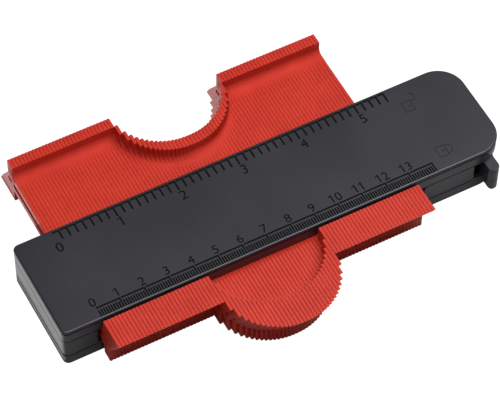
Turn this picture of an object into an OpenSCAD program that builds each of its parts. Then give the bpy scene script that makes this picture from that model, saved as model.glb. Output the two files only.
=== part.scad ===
// Contour gauge: a row of sliding leaves held between two covers, with a cam lock at the right end.
// X runs along the row, Y from front to back and Z up. The origin is the centre of the underside.
// The leaves are drawn as a round shape has set them: level at both ends and pushed forward between.

/* [Leaves] */
// Number of leaf pairs in the row
pair_count = 46; // [20:1:48]
// Distance from one leaf to the next
leaf_pitch = 1.42; // [1.3:0.01:1.6]
// Running gap between neighbouring leaves
leaf_gap = 0.08; // [0.05:0.01:0.15]
// Height of a leaf's bar
bar_h = 8.5; // [7:0.1:11]
// How far a leaf can slide
travel = 32.9; // [26:0.1:45]
// Length of a head, from the end of the bar to the tip
head_l = 12.8; // [10:0.1:16]
// Gap between a head's top or bottom and the plane of the covers
head_clear = 0.4; // [0.2:0.1:1]
// Thickness of a head's flange
flange_t = 4.4; // [3:0.1:6]
// Height of a head's flange above its slope
flange_h = 7; // [4:0.1:9]
// Height of the steep face behind a head's tip
tip_h = 3.7; // [2:0.1:5]
// How far that steep face leans back
tip_lean = 2; // [1:0.1:3]
// Height of the long slot between a bar's two rails
slot_h = 2.8; // [2.6:0.1:4]
// Height of the short slot in a head
head_slot_h = 2; // [1:0.1:2.4]
// Web between the long slot and the short one
slot_web = 1.3; // [1:0.1:2]
// Chamfer along a leaf's long edges
leaf_chamfer = 0.15; // [0.1:0.05:0.5]

/* [Shape set in the leaves] */
// Diameter of the round shape
imprint_d = 44.4; // [20:0.2:60]
// Depth of the round shape
imprint_depth = 20.9; // [5:0.1:22]
// Shift of the round shape from the middle of the row
imprint_shift = 0.15; // [-20:0.05:20]
// Gap between the front heads and the body where the leaves are level
rest_gap = 1; // [0.3:0.1:2]

/* [Body] */
// Width of the body from front to back
body_w = 43.5; // [40:0.5:60]
// Height of the bottom cover
base_h = 6; // [5:0.1:8]
// Height of the top cover above the leaves
cap_h = 6; // [5:0.1:8]
// Clearance above and below the bars
bar_clear = 0.25; // [0.15:0.05:0.5]
// Length of the body left of the leaves' window
left_end_l = 13.5; // [12:0.5:25]
// Length of the body right of the leaves' window
right_end_l = 35.5; // [33:0.5:50]
// Gap between the first leaf and the window's left edge
window_gap_left = 1.85; // [1:0.05:4]
// Gap between the last leaf and the window's right edge
window_gap_right = 3.8; // [2:0.1:6]
// Radius of the left corners in plan
corner_r_left = 2.5; // [2.4:0.1:6]
// Radius of the right corners in plan
corner_r_right = 11; // [4:0.5:11]
// Rounding of the top cover's upper edge
top_edge_r = 0.8; // [0.4:0.1:1.5]
// Height of the lip round the top cover's upper edge
lip_h = 1; // [0.9:0.1:2]
// How far the top cover's sides lie behind that lip
lip_step = 0.1; // [0.1:0.05:0.6]
// Height of the shadow line below that lip
lip_line_h = 0.8; // [0.2:0.05:1]
// Depth of that shadow line
lip_line_d = 0.6; // [0.2:0.05:0.8]
// How far the bottom cover's sides lie behind the top cover's lip
base_step = 0.1; // [0.1:0.05:0.4]
// Rounding of the bottom cover's lower edge
base_edge_r = 1.6; // [0.5:0.1:2]
// Thickness of the covers' side walls
wall = 2; // [1.6:0.1:2.2]
// Thickness of the covers' plates
plate_t = 2.4; // [1.8:0.1:3]
// Thickness of the ribs inside the covers
rib_t = 1.6; // [1:0.1:2]
// How far the band between the covers' rims lies behind them
band_step = 0.1; // [0.1:0.05:0.6]
// Height of the shadow line at the top of that band
line_h = 0.45; // [0.2:0.05:0.5]
// Depth of that shadow line
line_d = 0.55; // [0.2:0.05:0.6]
// Rounding of the band's upper corners beside the last leaf
window_r = 1.5; // [0.5:0.1:3]
// Height of the shadow line at the parting of the covers
reveal_h = 0.5; // [0.2:0.1:0.8]
// Depth of the shadow line
reveal_d = 0.7; // [0.4:0.1:1]

/* [Guide bar] */
// Width of the bar that runs through the leaves' slots
guide_w = 6; // [4:0.5:8]
// Thickness of the guide bar
guide_t = 2.2; // [1.6:0.1:2.4]
// How far the guide bar's ends sit in the covers' seats
guide_seat = 3; // [2:0.1:3.5]
// Fit of the guide bar in its seats
guide_fit = 0.05; // [0.03:0.01:0.1]

/* [Lock] */
// Distance from the right end to the lever's pin
lever_inset = 7.6; // [6.9:0.1:9]
// Length of the lever's opening, from the right end
cutout_l = 14; // [12:0.5:14]
// Diameter of the lever's hub
hub_d = 12.6; // [11:0.1:13]
// How far the hub is off the pin's centre, which makes it a cam
cam_offset = 0.35; // [0.2:0.05:0.45]
// Gap between the cam and the pressure block
cam_gap = 0.25; // [0.2:0.05:0.5]
// Gap between the pressure block and the last leaf when locked
press_gap = 0.1; // [0.06:0.02:0.2]
// Clearance above and below the lever and the pressure block
lock_clear = 0.3; // [0.2:0.05:0.5]
// Diameter of the lever's pin
pin_d = 4; // [3:0.1:5]
// How far the pin sits in each cover
pin_seat = 3; // [2:0.1:3.2]
// Radial fit of the pin in the covers
pin_fit = 0.03; // [0.02:0.01:0.05]
// Radial running clearance of the lever on its pin
pin_run = 0.06; // [0.03:0.01:0.1]
// Width of the lever's arm
arm_w = 4.6; // [3.5:0.1:5.5]
// Gap between the body's front and the lever's thumb end
thumb_gap = 0.75; // [0.5:0.05:2]
// Length of the thumb end
thumb_l = 4.3; // [3.5:0.1:7]
// How far the thumb end hangs below the arm
thumb_drop = 3.6; // [1:0.1:5]
// Thickness of the plate on top of the thumb end
thumb_plate_t = 1.5; // [1:0.1:2.5]
// Height of the shadow line below that plate
thumb_line_h = 0.3; // [0.2:0.05:0.5]
// Depth of that shadow line
thumb_line_d = 0.25; // [0.1:0.05:0.5]
// Height of the moulding seam above the thumb end's foot
seam_z = 5.2; // [2.5:0.1:7]
// Width and depth of that seam
seam_w = 0.2; // [0.1:0.05:0.3]
// Rounding of the thumb end's lower corners
thumb_r = 1.6; // [0.5:0.1:1.8]
// Thickness of the pressure block's face and end
block_t = 4; // [3:0.1:4.5]
// Width of each of the pressure block's arms
block_arm_w = 4.5; // [3:0.1:6]
// Width of the post between those arms
post_w = 7.2; // [6.6:0.1:9]
// Length of the post along the row
post_l = 4.5; // [4:0.1:6]
// Side clearance of the post and the pressure block
block_clear = 0.5; // [0.3:0.05:0.8]

/* [Screws] */
// Diameter of a cover screw's thread
screw_d = 2.9; // [2:0.1:3.5]
// Length of a cover screw below its head
screw_l = 11; // [8:0.5:12]
// Diameter of a cover screw's head
screw_head_d = 5.4; // [4.5:0.1:6]
// Height of a cover screw's head
screw_head_h = 2; // [1.5:0.1:2.2]
// How far a screw's head lies below the underside
screw_sink = 0.4; // [0.2:0.1:0.8]
// Clearance round a screw
screw_fit = 0.1; // [0.05:0.05:0.3]
// Wall of the bosses round the screws and the pin
boss_wall = 1.8; // [1.5:0.1:2.2]
// Distance from the left end to the left screws
screw_inset_left = 6.5; // [6.2:0.1:7]
// Distance from the lever's opening to the right screws
screw_inset_right = 11.5; // [8:0.5:14]
// Distance of the screws from the body's front and back
screw_edge = 6; // [5.8:0.1:7]

/* [Hidden] */
$fn = 64;
cover_color = "#434247";
leaf_color = "#cc4438";
steel_color = "#b4b6b8";
cut = 1;
fixed_nodes = ["top_cover", "bottom_cover", "guide_bar", "pressure_block", "lock_lever", "lever_pin",
               "cover_screws"];
function pair_name(n) = str("leaf_pair_", n < 10 ? "0" : "", n);

// Heights
window_h = bar_h + 2 * bar_clear;
cap_z = base_h + window_h;
total_h = cap_z + cap_h;
mid_z = base_h + window_h / 2;

// Places along the row
leaf_t = leaf_pitch - leaf_gap;
leaf_count = 2 * pair_count;
stack_l = leaf_count * leaf_pitch - leaf_gap;
window_l = window_gap_left + stack_l + window_gap_right;
body_l = left_end_l + window_l + right_end_l;
left_x = -body_l / 2;
right_x = body_l / 2;
window_x0 = left_x + left_end_l;
window_x1 = right_x - right_end_l;
stack_x0 = window_x0 + window_gap_left;
stack_x1 = stack_x0 + stack_l;
pivot_x = right_x - lever_inset;
cutout_x = right_x - cutout_l;

// Leaves
bar_l = body_w + travel;
bar_y = travel / 2 - rest_gap;
head_half = min(base_h, cap_h) + window_h / 2 - head_clear;
bar_root = 1;
imprint_r = imprint_d / 2;
imprint_x = (stack_x0 + stack_x1) / 2 + imprint_shift;
imprint_rise = imprint_r - imprint_depth;
imprint_half = imprint_rise > 0 ? sqrt(imprint_r * imprint_r - imprint_rise * imprint_rise) : imprint_r;
function leaf_x(i) = stack_x0 + i * leaf_pitch;
function imprint_reach(i) = max(0, abs(leaf_x(i) + leaf_t / 2 - imprint_x) - leaf_t / 2);
function leaf_push(i) = imprint_reach(i) >= imprint_half ? 0
    : sqrt(imprint_r * imprint_r - pow(imprint_reach(i), 2)) - imprint_rise;

// Inside of the covers
inner_y = body_w / 2 - wall - band_step;
jaw_gap = leaf_gap;
lever_z0 = base_h + lock_clear;
lever_h = window_h - 2 * lock_clear;

// Pressure block and post
press_travel = 2 * cam_offset;
block_x0 = stack_x1 + press_gap + press_travel;
block_x1 = pivot_x - hub_d / 2 + cam_offset - cam_gap;
block_arm_y0 = post_w / 2 + block_clear;
block_arm_y1 = block_arm_y0 + block_arm_w;
post_x0 = block_x0 + block_t + 4 * block_clear;
rib_ys = [for (side = [-1, 1]) each [side * (block_arm_y0 + block_arm_w / 2), side * 0.7 * inner_y]];

// Guide bar
guide_x0 = stack_x0 - jaw_gap - guide_seat;
guide_x1 = post_x0 + guide_seat;

// Screws and their bosses
boss_d = screw_d + 2 * (screw_fit + boss_wall);
pillar_d = screw_head_d + 2 * (screw_fit + boss_wall) - 1;
pin_boss_d = pin_d + 2 * (pin_fit + boss_wall);
screw_y = body_w / 2 - screw_edge;
screw_xs = [left_x + screw_inset_left, cutout_x - screw_inset_right];
screw_head_z = screw_sink + screw_head_h;
cross_w = 0.8;
cross_l = 0.6 * screw_head_d;
cross_d = 0.5 * screw_head_h;

// Box between two corners
module block(x0, x1, y0, y1, z0, z1) {
    translate([x0, y0, z0]) cube([x1 - x0, y1 - y0, z1 - z0]);
}

// What a rounding of radius r takes off a corner, seen from the rounding's centre
module corner_cut(r) {
    difference() {
        square(r + cut);
        circle(r);
    }
}

// Section of a rim: d deep and h high, rounded at its outer edges
module rim_section(d, h, top_r, low_r) {
    difference() {
        square([d, h]);
        if (top_r > 0) translate([d - top_r, h - top_r]) corner_cut(top_r);
        if (low_r > 0) translate([d - low_r, low_r]) mirror([0, 1]) corner_cut(low_r);
    }
}

// Plate with the body's outline, drawn in by inset, from z0 to z1
module outline_plate(z0, z1, inset = 0, top_r = 0, low_r = 0) {
    h = z1 - z0;
    rl = max(0.2, corner_r_left - inset);
    rr = max(0.2, corner_r_right - inset);
    hx = body_l / 2 - inset;
    hy = body_w / 2 - inset;
    translate([0, 0, z0]) {
        for (side = [0, 1])
            mirror([0, side, 0]) {
                translate([-hx + rl, 0, 0])
                    rotate([90, 0, 90])
                        linear_extrude(2 * hx - rl - rr) rim_section(hy, h, top_r, low_r);
                translate([hx - rr, hy - rr, 0]) rotate_extrude(angle = 90) rim_section(rr, h, top_r, low_r);
                translate([-hx + rl, hy - rl, 0])
                    rotate([0, 0, 90]) rotate_extrude(angle = 90) rim_section(rl, h, top_r, low_r);
            }
        translate([hx - rr, hy - rr, 0])
            rotate([90, 0, 0]) linear_extrude(2 * (hy - rr)) rim_section(rr, h, top_r, low_r);
        translate([-hx + rl, -hy + rl, 0])
            rotate([90, 0, 180]) linear_extrude(2 * (hy - rl)) rim_section(rl, h, top_r, low_r);
    }
}

// Draws its child at each of the four cover screws
module at_screws() {
    for (x = screw_xs, side = [-1, 1])
        translate([x, side * screw_y, 0]) children();
}

module guide_space(clear) {
    block(guide_x0 - clear, guide_x1 + clear, -guide_w / 2 - clear, guide_w / 2 + clear,
          mid_z - guide_t / 2 - clear, mid_z + guide_t / 2 + clear);
}

// Ribs along the row, inside a cover
module row_ribs(z0, z1) {
    for (y = rib_ys)
        block(window_x0 - wall, cutout_x, y - rib_t / 2, y + rib_t / 2, z0, z1);
}

module pin_bore(clear, z0, z1) {
    translate([pivot_x, 0, z0]) cylinder(d = pin_d + 2 * clear, h = z1 - z0);
}

// Middle band of the body: the top cover's walls beside the window, down to the parting
module end_walls() {
    line_z = cap_z - line_h;
    difference() {
        union() {
            outline_plate(base_h, line_z, band_step);
            outline_plate(line_z, cap_z, band_step + line_d);
        }
        block(window_x0, window_x1, -body_w, body_w, base_h - cut, cap_z + cut);
        block(cutout_x, right_x + cut, -body_w, body_w, base_h - cut, cap_z + cut);
        block(left_x + band_step + wall, window_x0 - wall, -inner_y, inner_y, base_h - cut, cap_z + cut);
        block(window_x1 - cut, cutout_x - wall, -inner_y, inner_y, base_h - cut, cap_z + cut);
        block(cutout_x - wall - cut, cutout_x + cut, -block_arm_y1 - block_clear, block_arm_y1 + block_clear,
              base_h - cut, cap_z + cut);
        translate([window_x1 + window_r, 0, line_z - window_r])
            rotate([90, 0, 0]) linear_extrude(2 * body_w, center = true) mirror([1, 0]) corner_cut(window_r);
    }
}

// Hollow of the top cover's cap, above the leaves
module cap_hollow() {
    difference() {
        outline_plate(cap_z - cut, total_h - plate_t, wall);
        block(window_x0 - wall, window_x0, -body_w, body_w, cap_z - 2 * cut, total_h);
        block(cutout_x - wall, cutout_x, -body_w, body_w, cap_z - 2 * cut, total_h);
        row_ribs(cap_z - 2 * cut, total_h);
        translate([pivot_x, 0, cap_z - 2 * cut]) cylinder(d = pin_boss_d, h = cap_h + 2 * cut);
    }
}

module top_cover() {
    lip_z = total_h - lip_h;
    color(cover_color)
        difference() {
            union() {
                difference() {
                    union() {
                        outline_plate(cap_z, lip_z - lip_line_h, lip_step);
                        outline_plate(lip_z - lip_line_h, lip_z, lip_step + lip_line_d);
                        outline_plate(lip_z, total_h, 0, top_edge_r);
                    }
                    cap_hollow();
                }
                end_walls();
                // Fixed jaw that the first leaf leans on
                block(window_x0 - wall, stack_x0 - jaw_gap, -inner_y, inner_y, base_h, cap_z);
                // Post that holds the guide bar's right end
                block(post_x0, post_x0 + post_l, -post_w / 2, post_w / 2, base_h, total_h - plate_t + cut / 2);
                at_screws() translate([0, 0, base_h]) cylinder(d = boss_d, h = total_h - plate_t - base_h + cut / 2);
            }
            guide_space(guide_fit);
            at_screws()
                translate([0, 0, base_h - cut]) cylinder(d = screw_d + 2 * screw_fit, h = screw_l + cut);
            pin_bore(pin_fit, cap_z - cut, cap_z + pin_seat);
        }
}

// Hollow of the bottom cover, below the leaves
module base_hollow() {
    difference() {
        outline_plate(plate_t, base_h + cut, wall);
        block(window_x0 - wall, window_x0, -body_w, body_w, 0, base_h + 2 * cut);
        block(cutout_x - wall, cutout_x, -body_w, body_w, 0, base_h + 2 * cut);
        block(post_x0, post_x0 + post_l, -body_w, body_w, 0, base_h);
        row_ribs(0, base_h + 2 * cut);
        at_screws() cylinder(d = pillar_d, h = base_h + 2 * cut);
        translate([pivot_x, 0, 0]) cylinder(d = pin_boss_d, h = base_h + 2 * cut);
    }
}

module bottom_cover() {
    color(cover_color)
        difference() {
            union() {
                outline_plate(0, base_h - reveal_h, base_step, 0, base_edge_r);
                outline_plate(base_h - reveal_h, base_h, base_step + reveal_d);
            }
            base_hollow();
            at_screws() {
                translate([0, 0, -cut]) cylinder(d = screw_d + 2 * screw_fit, h = base_h + 2 * cut);
                translate([0, 0, -cut]) cylinder(d = screw_head_d + 2 * screw_fit, h = screw_head_z + cut);
            }
            pin_bore(pin_fit, base_h - pin_seat, base_h + cut);
        }
}

module guide_bar() {
    color(steel_color) guide_space(0);
}

// Frame-shaped block: its face squeezes the leaves, and the cam pushes its other end
module pressure_block() {
    z0 = base_h + lock_clear;
    z1 = cap_z - lock_clear;
    color(cover_color)
        difference() {
            union() {
                block(block_x0, block_x0 + block_t, -inner_y + block_clear, inner_y - block_clear, z0, z1);
                block(block_x0, block_x1, -block_arm_y1, block_arm_y1, z0, z1);
            }
            block(block_x0 + block_t, block_x1 - block_t, -block_arm_y0, block_arm_y0, z0 - cut, z1 + cut);
            guide_space(block_clear);
        }
}

// Thumb end in plan: flat at the body and round outside
module thumb_plan(inset) {
    half = arm_w / 2 - inset;
    r = half - 0.1;
    translate([-half, 0])
        difference() {
            square([2 * half, thumb_l - inset]);
            translate([2 * half - r, thumb_l - inset - r]) corner_cut(r);
            translate([r, thumb_l - inset - r]) mirror([1, 0]) corner_cut(r);
        }
}

// The thumb end from the front: an upright tab with round lower corners
module thumb_front() {
    half = arm_w / 2;
    translate([-half, 0])
        difference() {
            square([2 * half, thumb_drop + lever_h]);
            translate([2 * half - thumb_r, thumb_r]) mirror([0, 1]) corner_cut(thumb_r);
            translate([thumb_r, thumb_r]) mirror([1, 0]) mirror([0, 1]) corner_cut(thumb_r);
        }
}

module thumb_end() {
    plate_z = lever_h - thumb_plate_t;
    line_z = plate_z - thumb_line_h;
    translate([0, 0, plate_z]) linear_extrude(thumb_plate_t) thumb_plan(0);
    translate([0, 0, line_z]) linear_extrude(thumb_line_h) thumb_plan(thumb_line_d);
    intersection() {
        translate([0, 0, -thumb_drop]) {
            linear_extrude(seam_z) thumb_plan(0);
            translate([0, 0, seam_z]) linear_extrude(seam_w) thumb_plan(seam_w);
            translate([0, 0, seam_z + seam_w])
                linear_extrude(thumb_drop + line_z - seam_z - seam_w) thumb_plan(0);
        }
        translate([0, thumb_l + cut, -thumb_drop])
            rotate([90, 0, 0]) linear_extrude(thumb_l + 2 * cut) thumb_front();
    }
}

// Lever with its cam hub. Drawn open: the arm points to the front
module lock_lever() {
    reach = body_w / 2 + thumb_gap;
    color(cover_color)
        translate([pivot_x, 0, lever_z0])
            difference() {
                union() {
                    translate([cam_offset, 0, 0]) cylinder(d = hub_d, h = lever_h);
                    block(-arm_w / 2, arm_w / 2, -reach - cut / 2, 0, 0, lever_h);
                    translate([0, -reach, 0]) mirror([0, 1, 0]) thumb_end();
                }
                translate([0, 0, -cut]) cylinder(d = pin_d + 2 * pin_run, h = lever_h + 2 * cut);
            }
}

module lever_pin() {
    color(steel_color) pin_bore(0, base_h - pin_seat, cap_z + pin_seat);
}

module cover_screw() {
    difference() {
        union() {
            translate([0, 0, screw_sink]) cylinder(d = screw_head_d, h = screw_head_h);
            translate([0, 0, screw_head_z - cut / 2]) cylinder(d = screw_d, h = screw_l + cut / 2);
        }
        for (turn = [0, 90])
            rotate([0, 0, turn])
                translate([-cross_l / 2, -cross_w / 2, screw_sink - cut]) cube([cross_l, cross_w, cross_d + cut]);
    }
}

module cover_screws() {
    color(steel_color) at_screws() cover_screw();
}

// Leaf seen along the row, from the end of the bar outwards: flange above, pointed head below
module head_outline() {
    polygon([
        [0, -head_half],
        [head_l, -head_half],
        [head_l - tip_lean, tip_h - head_half],
        [flange_t, head_half - flange_h],
        [flange_t, head_half],
        [0, head_half]
    ]);
}

// Bar along Y with chamfered edges: one leaf thick, h high and l long
module leaf_strip(h, l) {
    c = leaf_chamfer;
    rotate([90, 0, 0])
        linear_extrude(l, center = true)
            polygon([
                for (u = [[0, c], [c, 0], [leaf_t - c, 0], [leaf_t, c]]) [u[0], u[1] - h / 2],
                for (u = [[leaf_t, c], [leaf_t - c, 0], [c, 0], [0, c]]) [u[0], h / 2 - u[1]]
            ]);
}

module leaf_head() {
    intersection() {
        rotate([90, 0, 90]) linear_extrude(leaf_t) head_outline();
        leaf_strip(2 * head_half, 3 * head_l);
    }
}

// One leaf, about its own centre. Turned half over about X it is the same
module leaf() {
    difference() {
        union() {
            leaf_strip(bar_h, bar_l + 2 * bar_root);
            for (turn = [0, 180])
                rotate([turn, 0, 0]) translate([0, bar_l / 2, 0]) leaf_head();
        }
        block(-cut, leaf_t + cut, -bar_l / 2, bar_l / 2, -slot_h / 2, slot_h / 2);
        for (turn = [0, 180])
            rotate([turn, 0, 0])
                block(-cut, leaf_t + cut, bar_l / 2 + slot_web, bar_l / 2 + flange_t,
                      -head_slot_h / 2, head_slot_h / 2);
    }
}

module leaf_pair(n) {
    color(leaf_color)
        for (i = [2 * n - 2, 2 * n - 1])
            translate([leaf_x(i), bar_y - leaf_push(i), mid_z]) leaf();
}

top_cover();
bottom_cover();
guide_bar();
pressure_block();
lock_lever();
lever_pin();
cover_screws();
for (n = [1:pair_count])
    leaf_pair(n);
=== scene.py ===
import math

import bmesh
import bpy
from mathutils import Matrix, Vector


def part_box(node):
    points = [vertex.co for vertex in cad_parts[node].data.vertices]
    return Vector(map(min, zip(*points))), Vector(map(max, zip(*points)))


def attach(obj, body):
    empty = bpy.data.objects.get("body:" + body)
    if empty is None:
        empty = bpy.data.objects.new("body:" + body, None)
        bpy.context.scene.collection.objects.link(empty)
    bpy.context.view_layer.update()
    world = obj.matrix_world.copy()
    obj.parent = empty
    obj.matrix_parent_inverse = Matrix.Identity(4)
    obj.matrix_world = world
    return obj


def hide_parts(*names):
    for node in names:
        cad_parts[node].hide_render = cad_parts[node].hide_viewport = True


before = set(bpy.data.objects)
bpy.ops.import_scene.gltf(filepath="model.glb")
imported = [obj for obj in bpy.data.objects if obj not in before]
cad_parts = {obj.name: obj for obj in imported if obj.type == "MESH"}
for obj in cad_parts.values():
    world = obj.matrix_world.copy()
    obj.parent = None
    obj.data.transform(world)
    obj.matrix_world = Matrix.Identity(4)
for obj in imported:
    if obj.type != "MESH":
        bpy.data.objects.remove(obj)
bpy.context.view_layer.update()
mm = 0.001


# sRGB hex to the linear values that the shader sockets take
def linear(hexColour):
    parts = [int(hexColour[i:i + 2], 16) / 255 for i in (1, 3, 5)]
    return [p / 12.92 if p < 0.04045 else ((p + 0.055) / 1.055) ** 2.4 for p in parts] + [1.0]


# one node with its settings; an input is a value, or a (node, output) pair to link from
def addNode(tree, kind, inputs=None, **settings):
    node = tree.nodes.new(kind)
    for name, value in settings.items():
        setattr(node, name, value)
    for name, value in (inputs or {}).items():
        if isinstance(value, tuple) and isinstance(value[0], bpy.types.Node):
            tree.links.new(value[0].outputs[value[1]], node.inputs[name])
        else:
            node.inputs[name].default_value = value
    return node


def newMaterial(name):
    material = bpy.data.materials.new(name)
    material.use_nodes = True
    material.node_tree.nodes.clear()
    return material, material.node_tree


# noise cells per metre for a grain of this many millimetres
def grain(size):
    return 1 / (size * mm)


# ABS moulded in an eroded tool: black, and greyed by the satin sheen of a fine even grain
coverLook = {"tints": ("#26252b", "#2e2d34"), "tintAt": (0.35, 0.65), "cloud": 28, "grain": 0.55,
             "grainShare": 0.12, "spread": (0.3, 0.7), "gloss": (0.285, 0.315), "depth": 0.006,
             "dimple": 0.25, "ior": 1.53}


def mouldedCoverAbs():
    material, tree = newMaterial("mouldedCoverAbs")
    place = addNode(tree, "ShaderNodeTexCoord")
    cloud = addNode(tree, "ShaderNodeTexNoise", {
        "Vector": (place, "Object"), "Scale": grain(coverLook["cloud"]), "Detail": 2.0, "Roughness": 0.5})
    speck = addNode(tree, "ShaderNodeTexNoise", {
        "Vector": (place, "Object"), "Scale": grain(coverLook["grain"]), "Detail": 3.0, "Roughness": 0.6})
    both = addNode(tree, "ShaderNodeMix", {
        "A": (cloud, "Fac"), "B": (speck, "Fac"), "Factor": coverLook["grainShare"]})
    tint = addNode(tree, "ShaderNodeValToRGB", {"Fac": (both, "Result")})
    for stop, at, shade in zip(tint.color_ramp.elements, coverLook["tintAt"], coverLook["tints"]):
        stop.position = at
        stop.color = linear(shade)
    gloss = addNode(tree, "ShaderNodeMapRange", {
        "Value": (speck, "Fac"), "From Min": coverLook["spread"][0], "From Max": coverLook["spread"][1],
        "To Min": coverLook["gloss"][0], "To Max": coverLook["gloss"][1]})
    dimple = addNode(tree, "ShaderNodeBump", {
        "Height": (speck, "Fac"), "Strength": coverLook["dimple"], "Distance": coverLook["depth"] * mm})
    skin = addNode(tree, "ShaderNodeBsdfPrincipled", {
        "Base Color": (tint, "Color"), "Roughness": (gloss, "Result"), "IOR": coverLook["ior"],
        "Normal": (dimple, "Normal")})
    addNode(tree, "ShaderNodeOutputMaterial", {"Surface": (skin, "BSDF")})
    return material


# red ABS from a polished tool: clean satin, a little deeper in colour here and there along a leaf,
# and dull at the flange's root, where the tool's corner is too deep to polish
leafLook = {"tints": ("#c43021", "#ce3726"), "tintAt": (0.3, 0.7), "cloud": 9, "grain": 0.4,
            "spread": (0.3, 0.7), "gloss": (0.30, 0.40), "rootGloss": 0.9, "depth": 0.008, "dimple": 0.2,
            "shine": 0.4}


def satinLeafAbs():
    material, tree = newMaterial("satinLeafAbs")
    place = addNode(tree, "ShaderNodeTexCoord")
    cloud = addNode(tree, "ShaderNodeTexNoise", {
        "Vector": (place, "Object"), "Scale": grain(leafLook["cloud"]), "Detail": 2.0, "Roughness": 0.5})
    speck = addNode(tree, "ShaderNodeTexNoise", {
        "Vector": (place, "Object"), "Scale": grain(leafLook["grain"]), "Detail": 2.0, "Roughness": 0.5})
    tint = addNode(tree, "ShaderNodeValToRGB", {"Fac": (cloud, "Fac")})
    for stop, at, shade in zip(tint.color_ramp.elements, leafLook["tintAt"], leafLook["tints"]):
        stop.position = at
        stop.color = linear(shade)
    gloss = addNode(tree, "ShaderNodeMapRange", {
        "Value": (speck, "Fac"), "From Min": leafLook["spread"][0], "From Max": leafLook["spread"][1],
        "To Min": leafLook["gloss"][0], "To Max": leafLook["gloss"][1]})
    root = addNode(tree, "ShaderNodeAttribute", attribute_name="rootGrain")
    rubbed = addNode(tree, "ShaderNodeMix", {
        "Factor": (root, "Fac"), "A": (gloss, "Result"), "B": leafLook["rootGloss"]})
    dimple = addNode(tree, "ShaderNodeBump", {
        "Height": (speck, "Fac"), "Strength": leafLook["dimple"], "Distance": leafLook["depth"] * mm})
    skin = addNode(tree, "ShaderNodeBsdfPrincipled", {
        "Base Color": (tint, "Color"), "Roughness": (rubbed, "Result"),
        "Specular IOR Level": leafLook["shine"], "Normal": (dimple, "Normal")})
    addNode(tree, "ShaderNodeOutputMaterial", {"Surface": (skin, "BSDF")})
    return material


# black marking ink: flat, slightly uneven where it is thin
inkLook = {"tints": ("#060607", "#0d0d0f"), "patch": 1.6, "gloss": 0.8, "shine": 0.1}


def markingInk():
    material, tree = newMaterial("markingInk")
    place = addNode(tree, "ShaderNodeTexCoord")
    patch = addNode(tree, "ShaderNodeTexNoise", {
        "Vector": (place, "Object"), "Scale": grain(inkLook["patch"]), "Detail": 2.0})
    tint = addNode(tree, "ShaderNodeValToRGB", {"Fac": (patch, "Fac")})
    for stop, shade in zip(tint.color_ramp.elements, inkLook["tints"]):
        stop.color = linear(shade)
    film = addNode(tree, "ShaderNodeBsdfPrincipled", {
        "Base Color": (tint, "Color"), "Roughness": inkLook["gloss"], "Specular IOR Level": inkLook["shine"]})
    addNode(tree, "ShaderNodeOutputMaterial", {"Surface": (film, "BSDF")})
    return material


# zinc-plated steel: grey metal with fine drawn lines
steelLook = {"tints": ("#a9abad", "#c6c8ca"), "line": 0.5, "stretch": 30, "gloss": (0.28, 0.42)}


def zincSteel():
    material, tree = newMaterial("zincSteel")
    place = addNode(tree, "ShaderNodeTexCoord")
    drawn = addNode(tree, "ShaderNodeMapping", {
        "Vector": (place, "Object"), "Scale": (1 / steelLook["stretch"], 1.0, 1.0)})
    lines = addNode(tree, "ShaderNodeTexNoise", {
        "Vector": (drawn, "Vector"), "Scale": grain(steelLook["line"]), "Detail": 3.0})
    tint = addNode(tree, "ShaderNodeValToRGB", {"Fac": (lines, "Fac")})
    for stop, shade in zip(tint.color_ramp.elements, steelLook["tints"]):
        stop.color = linear(shade)
    gloss = addNode(tree, "ShaderNodeMapRange", {
        "Value": (lines, "Fac"), "To Min": steelLook["gloss"][0], "To Max": steelLook["gloss"][1]})
    metal = addNode(tree, "ShaderNodeBsdfPrincipled", {
        "Base Color": (tint, "Color"), "Metallic": 1.0, "Roughness": (gloss, "Result")})
    addNode(tree, "ShaderNodeOutputMaterial", {"Surface": (metal, "BSDF")})
    return material


coverAbs = mouldedCoverAbs()
leafAbs = satinLeafAbs()
ink = markingInk()
steel = zincSteel()
print("materials ready")


# turns a bmesh into an object in the scene
def newObject(name, bm, material):
    mesh = bpy.data.meshes.new(name)
    bm.to_mesh(mesh)
    bm.free()
    mesh.materials.append(material)
    made = bpy.data.objects.new(name, mesh)
    bpy.context.scene.collection.objects.link(made)
    return made


# turns a bmesh into a finished piece that moves with a body
def addPiece(name, bm, material, body):
    piece = newObject(name, bm, material)
    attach(piece, body)
    return piece


# smooth shading that keeps flat faces flat; edges sharper than the angle, if one is given, stay sharp
def evenShading(piece, smoothest=None):
    for face in piece.data.polygons:
        face.use_smooth = True
    if smoothest is not None:
        piece.data.set_sharp_from_angle(angle=math.radians(smoothest))
    piece.modifiers.new("evenShading", "WEIGHTED_NORMAL").keep_sharp = True


# leaf, in mm and degrees: a flat outline with a thickness, the same when it is turned half over.
# Its outer edges are rounded wider than deep, but not beside the flange's root, which has a fillet
leaf = {"barLength": 76.4, "barHeight": 8.5, "headHalf": 10.1, "headLength": 12.8, "flange": 4.6,
        "flangeHeight": 7.0, "tipHeight": 3.7, "tipLean": 2.0, "slotHalf": 1.4, "slotWeb": 1.3,
        "headSlotHalf": 1.0, "thickness": 1.34, "swell": 0.03, "edgeWidth": 0.32, "edgeDepth": 0.2,
        "edgeSteps": 3, "rootRadius": 2.5, "rootSteps": 8, "rootBlend": 0.2, "rootFlat": 4.2, "slack": 0.01,
        "sharpest": 60, "smoothest": 38}
# what tells a leaf's outer rim: how far its face leans, and how far from a slot it lies, in slot sizes
leafRim = {"across": 0.5, "level": 0.3, "slotClear": 1.1, "webClear": 2}


# closes a ring of edges through points given in mm as (y, z)
def addRing(bm, points):
    verts = [bm.verts.new((0, y * mm, z * mm)) for y, z in points]
    return [bm.edges.new((verts[i - 1], verts[i])) for i in range(len(verts))]


def rectangle(y0, y1, half):
    return [(y0, -half), (y1, -half), (y1, half), (y0, half)]


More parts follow.
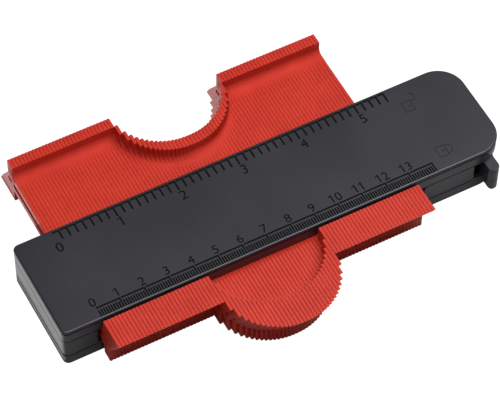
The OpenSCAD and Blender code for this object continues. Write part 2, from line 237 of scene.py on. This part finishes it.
# the back half from the head's underside to the bar's top, then the same turned half over
def leafOutline():
    half = leaf["barLength"] / 2
    bar = leaf["barHeight"] / 2
    head = leaf["headHalf"]
    root = leaf["rootRadius"]
    tip = half + leaf["headLength"]
    flange = half + leaf["flange"]
    back = [(half, -bar), (half, -head), (tip, -head), (tip - leaf["tipLean"], leaf["tipHeight"] - head),
            (flange, head - leaf["flangeHeight"]), (flange, head), (half, head)]
    for i in range(leaf["rootSteps"] + 1):
        turn = math.pi / 2 * i / leaf["rootSteps"]
        back.append((half - root + root * math.cos(turn), bar + root - root * math.sin(turn)))
    back += [(half - root - leaf["rootBlend"], bar), (half - leaf["rootFlat"], bar)]
    return back + [(-y, -z) for y, z in back]


# whether an edge of the flat side borders a face that looks up, down or outwards,
# and lies neither in a slot nor beside a root
def outerRim(edge):
    across = [f for f in edge.link_faces if abs(f.normal.x) < leafRim["across"]]
    if len(across) != 1:
        return False
    half = leaf["barLength"] / 2 * mm
    middle = (edge.verts[0].co + edge.verts[1].co) / 2
    normal = across[0].normal
    if abs(normal.z) > leafRim["level"]:
        outsideSlot = abs(middle.z) > leafRim["slotClear"] * leaf["slotHalf"] * mm
        atRoot = half - leaf["rootFlat"] * mm < abs(middle.y) < half
        return outsideSlot and not atRoot
    pastWeb = abs(middle.y) > half + leafRim["webClear"] * leaf["slotWeb"] * mm
    return normal.y * middle.y > 0 and pastWeb


# marks the fillet's points for the duller finish
def markRoot(bm):
    half = leaf["barLength"] / 2
    bar = leaf["barHeight"] / 2
    root = leaf["rootRadius"]
    slack = leaf["slack"]
    rough = bm.verts.layers.float.new("rootGrain")
    for vert in bm.verts:
        along = abs(vert.co.y) / mm
        up = abs(vert.co.z) / mm
        inRoot = half - root - slack < along < half + slack and bar - slack < up < bar + root + slack
        vert[rough] = float(inRoot and vert.co.y * vert.co.z > 0)  # only on the flange's side


def leafShape():
    half = leaf["barLength"] / 2
    webs = (half + leaf["slotWeb"], half + leaf["flange"])
    bm = bmesh.new()
    edges = addRing(bm, leafOutline())
    edges += addRing(bm, rectangle(-half, half, leaf["slotHalf"]))
    edges += addRing(bm, rectangle(webs[0], webs[1], leaf["headSlotHalf"]))
    edges += addRing(bm, rectangle(-webs[1], -webs[0], leaf["headSlotHalf"]))
    bmesh.ops.triangle_fill(bm, edges=edges, use_beauty=True)
    grown = bmesh.ops.extrude_face_region(bm, geom=bm.faces[:])
    moved = [g for g in grown["geom"] if isinstance(g, bmesh.types.BMVert)]
    squeeze = leaf["edgeDepth"] / leaf["edgeWidth"]  # thin while bevelled, so that edges come out wide
    thick = leaf["thickness"] + 2 * leaf["swell"]
    bmesh.ops.translate(bm, verts=moved, vec=(thick * squeeze * mm, 0, 0))
    bmesh.ops.recalc_face_normals(bm, faces=bm.faces)
    sharpest = math.radians(leaf["sharpest"])
    rims = [e for e in bm.edges if abs(e.calc_face_angle(0)) > sharpest and outerRim(e)]
    bmesh.ops.bevel(bm, geom=rims, offset=leaf["edgeDepth"] * mm, affect="EDGES", segments=leaf["edgeSteps"],
                    profile=0.5, material=-1)
    bmesh.ops.scale(bm, verts=bm.verts, vec=(1 / squeeze, 1, 1))
    bmesh.ops.translate(bm, verts=bm.verts, vec=(-leaf["swell"] * mm, 0, 0))
    markRoot(bm)
    return bm


# sets a leaf in the place of each of a CAD pair's two solids
def dressLeaves():
    shape = leafShape()
    pattern = bpy.data.meshes.new("leafPattern")
    shape.to_mesh(pattern)
    shape.free()
    reach = (leaf["barLength"] / 2 + leaf["headLength"]) * mm
    for node in sorted(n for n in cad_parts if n.startswith("leaf_pair")):
        low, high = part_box(node)
        middle = (low.x + high.x) / 2
        bm = bmesh.new()
        for side in (-1, 1):
            corners = [v.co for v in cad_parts[node].data.vertices if (v.co.x - middle) * side > 0]
            left = min(c.x for c in corners)
            tip = min(c.y for c in corners)
            before = len(bm.verts)
            bm.from_mesh(pattern)
            bm.verts.ensure_lookup_table()
            bmesh.ops.translate(bm, verts=bm.verts[before:], vec=(left, tip + reach, (low.z + high.z) / 2))
        name = node.replace("leaf_pair", "leaves")
        piece = addPiece(name, bm, leafAbs, name)
        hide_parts(node)
        evenShading(piece, leaf["smoothest"])
    bpy.data.meshes.remove(pattern)


dressLeaves()
print("leaves dressed")

# copies of CAD pieces: points closer than this many mm are merged,
# and faces within this many degrees of one plane are joined
copies = {"weld": 0.005, "flat": 1}


def copyNode(node):
    bm = bmesh.new()
    bm.from_mesh(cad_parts[node].data)
    bmesh.ops.remove_doubles(bm, verts=bm.verts, dist=copies["weld"] * mm)
    bmesh.ops.dissolve_limit(bm, angle_limit=math.radians(copies["flat"]), verts=bm.verts, edges=bm.edges)
    return bm


def roundEdges(bm, edges, piece):
    bmesh.ops.bevel(bm, geom=edges, offset=piece["edge"] * mm, affect="EDGES", segments=piece["edgeSteps"],
                    profile=0.5, material=-1, clamp_overlap=True)


# lever: its moulded edges rounded
lever = {"edge": 0.3, "edgeSteps": 3, "sharpest": 40}


def softLever():
    bm = copyNode("lock_lever")
    sharpest = math.radians(lever["sharpest"])
    sharp = [e for e in bm.edges if e.is_manifold and e.is_convex and e.calc_face_angle(0) > sharpest]
    roundEdges(bm, sharp, lever)
    return bm


leverPiece = addPiece("lockLever", softLever(), coverAbs, "lever")
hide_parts("lock_lever")
evenShading(leverPiece)

# covers: rounded along the line where they part
covers = {"edge": 0.5, "edgeSteps": 3, "reveal": 0.5, "inset": 1.0, "slack": 0.01, "wall": 0.5,
          "sharpest": 60, "smoothest": 30}
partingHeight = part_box("bottom_cover")[1].z


# whether an edge lies at this height on the outer wall
def partingRim(bm, edge, height):
    if any(abs(v.co.z - height) > covers["slack"] * mm for v in edge.verts):
        return False
    walls = [f.normal for f in edge.link_faces if abs(f.normal.z) < covers["wall"]]
    if len(walls) != 1 or not edge.is_convex or edge.calc_face_angle(0) < math.radians(covers["sharpest"]):
        return False
    reach = max(v.co.dot(walls[0]) for v in bm.verts)
    return reach - edge.verts[0].co.dot(walls[0]) < covers["inset"] * mm


def softCover(node, height):
    bm = copyNode(node)
    roundEdges(bm, [e for e in bm.edges if partingRim(bm, e, height)], covers)
    return bm


for name, node, height in (("topCover", "top_cover", partingHeight),
                           ("bottomCover", "bottom_cover", partingHeight - covers["reveal"] * mm)):
    coverPiece = addPiece(name, softCover(node, height), coverAbs, "body")
    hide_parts(node)
    evenShading(coverPiece, covers["smoothest"])

# the CAD pieces that keep their shape
for name, finish in (("pressure_block", coverAbs), ("guide_bar", steel), ("lever_pin", steel),
                     ("cover_screws", steel)):
    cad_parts[name].data.materials.clear()
    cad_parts[name].data.materials.append(finish)
print("covers, lever and steel parts finished")

# scales on the top cover: films of ink, in mm along and across the cover
scales = {"zero": -77.20, "tickZero": -77.65, "inchZero": -77.40, "film": 0.03, "stem": 0.4}
metric = {"base": -16.75, "count": 140, "perNumber": 10, "tick": 3.0, "space": 1.1, "tickWidth": 0.6,
          "lineWidth": 0.7, "gap": 0.6, "numeral": 3.7, "lift": 2.9}
inches = {"base": 20.2, "count": 44, "perNumber": 8, "perLong": 4, "pitch": 25.4 / 8, "tick": 4.0,
          "longTick": 4.2, "lineWidth": 0.72, "gap": 0.6, "numeral": 4.2, "drop": 6.85, "shift": 0.2}
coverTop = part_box("top_cover")[1].z


# a flat bar of ink between two corners given in mm
def addMark(bm, x0, x1, y0, y1):
    size = Matrix.Diagonal(((x1 - x0) * mm, (y1 - y0) * mm, scales["film"] * mm, 1))
    place = Matrix.Translation(((x0 + x1) / 2 * mm, (y0 + y1) / 2 * mm, coverTop + scales["film"] / 2 * mm))
    bmesh.ops.create_cube(bm, size=1, matrix=place @ size)


# a straight stroke of ink between two points in mm
def addStroke(bm, start, end, width):
    along = Vector(end) - Vector(start)
    middle = (Vector(start) + Vector(end)) / 2 * mm
    size = Matrix.Diagonal(((along.length + width) * mm, width * mm, scales["film"] * mm, 1))
    turn = Matrix.Rotation(math.atan2(along.y, along.x), 4, "Z")
    place = Matrix.Translation((middle.x, middle.y, coverTop + scales["film"] / 2 * mm))
    bmesh.ops.create_cube(bm, size=1, matrix=place @ turn @ size)


def metricTicks():
    bm = bmesh.new()
    base = metric["base"]
    half = metric["lineWidth"] / 2
    wide = metric["tickWidth"] / 2
    top = base - metric["space"]
    for i in range(1, metric["count"] + 1):
        x = scales["tickZero"] + i
        if i % metric["perNumber"]:
            addMark(bm, x - wide, x + wide, top - metric["tick"], top)
        else:
            addMark(bm, x - wide, x + wide, top - metric["tick"], base - half)
            addMark(bm, x - metric["perNumber"] + metric["gap"], x + wide, base - half, base + half)
    return bm


def inchTicks():
    bm = bmesh.new()
    base = inches["base"]
    half = inches["lineWidth"] / 2
    for i in range(1, inches["count"] + 1):
        x = scales["inchZero"] + i * inches["pitch"]
        tick = inches["tick"] if i % inches["perLong"] else inches["longTick"]
        addMark(bm, x - half, x + half, base - tick, base - half)
        addMark(bm, x - inches["pitch"] + inches["gap"], x + half, base - half, base + half)
    return bm


# the slanting start of a figure one, from the top of its stem; across and down are shares of its height
flag = {"across": 0.3, "down": 0.24, "width": 0.34}


def addFlag(bm, x, y, height):
    tip = (x - flag["across"] * height, y - flag["down"] * height)
    addStroke(bm, (x, y - flag["width"] / 2), tip, flag["width"])


# plain numerals from the built-in font, made a mesh and set upright on the cover
def addNumeral(bm, text, height, x, y):
    curve = bpy.data.curves.new("numeral", "FONT")
    curve.body = text
    curve.align_x = "CENTER"
    writing = bpy.data.objects.new("numeral", curve)
    bpy.context.scene.collection.objects.link(writing)
    bpy.context.view_layer.update()
    mesh = bpy.data.meshes.new_from_object(writing.evaluated_get(bpy.context.evaluated_depsgraph_get()))
    tall = [v.co.y for v in mesh.vertices]
    size = height * mm / (max(tall) - min(tall))
    mesh.transform(Matrix.Translation((x * mm, (y - height / 2) * mm, coverTop))
                   @ Matrix.Scale(size, 4) @ Matrix.Translation((0, -min(tall), 0)))
    wide = [v.co.x / mm for v in mesh.vertices]
    first = len(bm.faces)
    bm.from_mesh(mesh)
    bm.faces.ensure_lookup_table()
    grown = bmesh.ops.extrude_face_region(bm, geom=bm.faces[first:])
    bmesh.ops.translate(bm, verts=[g for g in grown["geom"] if isinstance(g, bmesh.types.BMVert)],
                        vec=(0, 0, scales["film"] * mm))
    if text.startswith("1"):
        addFlag(bm, min(wide) + scales["stem"] / 2, y + height / 2, height)
    if text.endswith("11"):
        addFlag(bm, max(wide) - scales["stem"] / 2, y + height / 2, height)
    bpy.data.objects.remove(writing)
    bpy.data.curves.remove(curve)
    bpy.data.meshes.remove(mesh)


def metricNumerals():
    bm = bmesh.new()
    for i in range(metric["count"] // metric["perNumber"]):
        addNumeral(bm, str(i), metric["numeral"], scales["zero"] + i * metric["perNumber"],
                   metric["base"] + metric["lift"])
    bmesh.ops.recalc_face_normals(bm, faces=bm.faces)
    return bm


def inchNumerals():
    bm = bmesh.new()
    for i in range(inches["count"] // inches["perNumber"] + 1):
        x = scales["zero"] + inches["shift"] + i * inches["perNumber"] * inches["pitch"]
        addNumeral(bm, str(i), inches["numeral"], x, inches["base"] - inches["drop"])
    bmesh.ops.recalc_face_normals(bm, faces=bm.faces)
    return bm


# two small padlocks beside the lever, one shut and one open, lying on their sides;
# each place is x, y and the bow's swing, in mm
padlock = {"line": 0.16, "length": 3.7, "half": 2.4, "bow": 1.8, "leg": 0.7, "steps": 12, "hole": 0.5,
           "holeAt": 2.3, "shut": (66.75, -13.6, 0.0), "open": (66.15, 10.5, 3.6)}


def padlocks():
    bm = bmesh.new()
    half = padlock["half"]
    radius = padlock["bow"]
    hole = padlock["hole"] / 2
    for x, y, swing in (padlock["shut"], padlock["open"]):
        end = x + padlock["length"]
        corners = [(x, y - half), (end, y - half), (end, y + half), (x, y + half)]
        for i in range(len(corners)):
            addStroke(bm, corners[i - 1], corners[i], padlock["line"])
        reach = end + padlock["leg"]
        bow = [(end if swing == 0 else reach, y + swing + radius)]  # an open bow's free leg is short
        for i in range(padlock["steps"] + 1):
            turn = math.pi * i / padlock["steps"]
            bow.append((reach + radius * math.sin(turn), y + swing + radius * math.cos(turn)))
        bow.append((end, y + swing - radius))
        for i in range(len(bow) - 1):
            addStroke(bm, bow[i], bow[i + 1], padlock["line"])
        at = x + padlock["holeAt"]
        addMark(bm, at - hole, at + hole, y - hole, y + hole)
    return bm


for name, marks in (("metricTicks", metricTicks()), ("inchTicks", inchTicks()), ("padlocks", padlocks()),
                    ("metricNumerals", metricNumerals()), ("inchNumerals", inchNumerals())):
    addPiece(name, marks, ink, "body")
print("scales marked")

# white sweep, in metres: pure white to the camera, but it still takes the shadow. The light that it throws
# back is a pale grey's. White cards, which the plastic mirrors, lie beside the left end and in the notch
stageLook = {"floor": "#b4b4b4", "card": "#f4f4f4", "glow": 0.86, "white": 1.25, "size": 4.0,
             "cardLift": 0.0001,
             "cards": {"endCard": ((-0.7, -0.021), (-0.0936, 0.04)),
                       "backCard": ((-0.7, 0.04), (-0.078, 0.6)),
                       "notchCard": ((-0.034, 0.045), (0.02, 0.6))}}


# paper that shows itself as white to the kinds of ray that are named
def whitePaper(name, colour, kinds):
    material, tree = newMaterial(name)
    paper = addNode(tree, "ShaderNodeBsdfDiffuse", {"Color": linear(colour)})
    glow = addNode(tree, "ShaderNodeEmission", {"Color": (1, 1, 1, 1), "Strength": stageLook["white"]})
    seen = addNode(tree, "ShaderNodeLightPath")
    share = (seen, kinds[0])
    for kind in kinds[1:]:
        share = (addNode(tree, "ShaderNodeMath", {0: share, 1: (seen, kind)}, operation="MAXIMUM"), "Value")
    part = addNode(tree, "ShaderNodeMath", {0: share, 1: stageLook["glow"]}, operation="MULTIPLY")
    both = addNode(tree, "ShaderNodeMixShader", {
        0: (part, "Value"), 1: (paper, "BSDF"), 2: (glow, "Emission")})
    addNode(tree, "ShaderNodeOutputMaterial", {"Surface": (both, "Shader")})
    return material


def addPaper(name, bm, material):
    paper = newObject(name, bm, material)


def stageFloor():
    bm = bmesh.new()
    bmesh.ops.create_grid(bm, x_segments=1, y_segments=1, size=stageLook["size"])
    addPaper("stageFloor", bm, whitePaper("paleSweep", stageLook["floor"], ["Is Camera Ray"]))


def sideCards():
    white = whitePaper("whiteCard", stageLook["card"], ["Is Camera Ray", "Is Glossy Ray"])
    for name, (low, high) in stageLook["cards"].items():
        middle = (Vector(low) + Vector(high)) / 2
        size = Matrix.Diagonal((high[0] - low[0], high[1] - low[1], 1, 1))
        bm = bmesh.new()
        bmesh.ops.create_grid(bm, x_segments=1, y_segments=1, size=0.5,
                              matrix=Matrix.Translation((middle.x, middle.y, stageLook["cardLift"])) @ size)
        addPaper(name, bm, white)


stageFloor()
sideCards()

# lamps, in metres: a broad soft one overhead at the right, which draws the front edges, a fill at the left,
# and weak light all round
lamps = {"softTop": {"at": (0.38, -0.02, 1.0), "aim": (0, 0, 0), "size": (0.8, 0.85), "watts": 10.5},
         "leftFill": {"at": (-0.36, -0.22, 1.0), "aim": (0, 0, 0), "size": (0.5, 0.4), "watts": 3.2}}
worldLight = {"colour": "#ffffff", "strength": 0.08, "seen": 1.0}


def addLamp(name, lamp):
    light = bpy.data.lights.new(name, "AREA")
    light.shape = "RECTANGLE"
    light.size, light.size_y = lamp["size"]
    light.energy = lamp["watts"]
    holder = bpy.data.objects.new(name, light)
    bpy.context.scene.collection.objects.link(holder)
    holder.location = lamp["at"]
    holder.rotation_euler = (Vector(lamp["aim"]) - Vector(lamp["at"])).to_track_quat("-Z", "Y").to_euler()


def addWorld():
    world = bpy.data.worlds.new("studio")
    bpy.context.scene.world = world
    world.use_nodes = True
    tree = world.node_tree
    tree.nodes.clear()
    seen = addNode(tree, "ShaderNodeLightPath")
    level = addNode(tree, "ShaderNodeMix", {
        "Factor": (seen, "Is Camera Ray"), "A": worldLight["strength"], "B": worldLight["seen"]})
    sky = addNode(tree, "ShaderNodeBackground", {
        "Color": linear(worldLight["colour"]), "Strength": (level, "Result")})
    addNode(tree, "ShaderNodeOutputWorld", {"Surface": (sky, "Background")})


for lampName, lampPlan in lamps.items():
    addLamp(lampName, lampPlan)
addWorld()
print("stage and light set")

# camera, in mm and degrees: where the photograph was taken from
shot = {"aim": (-5.604, -0.2, 21.0), "distance": 1025.2, "heading": 28.76, "pitch": 54.4, "roll": 0.91,
        "lens": 199.95, "sensor": 36.0, "near": 10}


def addCamera():
    lens = bpy.data.cameras.new("shot")
    lens.lens = shot["lens"]
    lens.sensor_width = shot["sensor"]
    lens.clip_start = shot["near"] * mm
    heading = math.radians(shot["heading"])
    pitch = math.radians(shot["pitch"])
    roll = math.radians(shot["roll"])
    level = math.cos(pitch)
    look = Vector((math.sin(heading) * level, math.cos(heading) * level, -math.sin(pitch)))
    turn = look.to_track_quat("-Z", "Y").to_matrix().to_4x4() @ Matrix.Rotation(roll, 4, "Z")
    holder = bpy.data.objects.new("shot", lens)
    bpy.context.scene.collection.objects.link(holder)
    holder.matrix_world = Matrix.Translation((Vector(shot["aim"]) - look * shot["distance"]) * mm) @ turn
    bpy.context.scene.camera = holder


addCamera()
bpy.context.scene.view_settings.view_transform = "Standard"
print("camera placed")
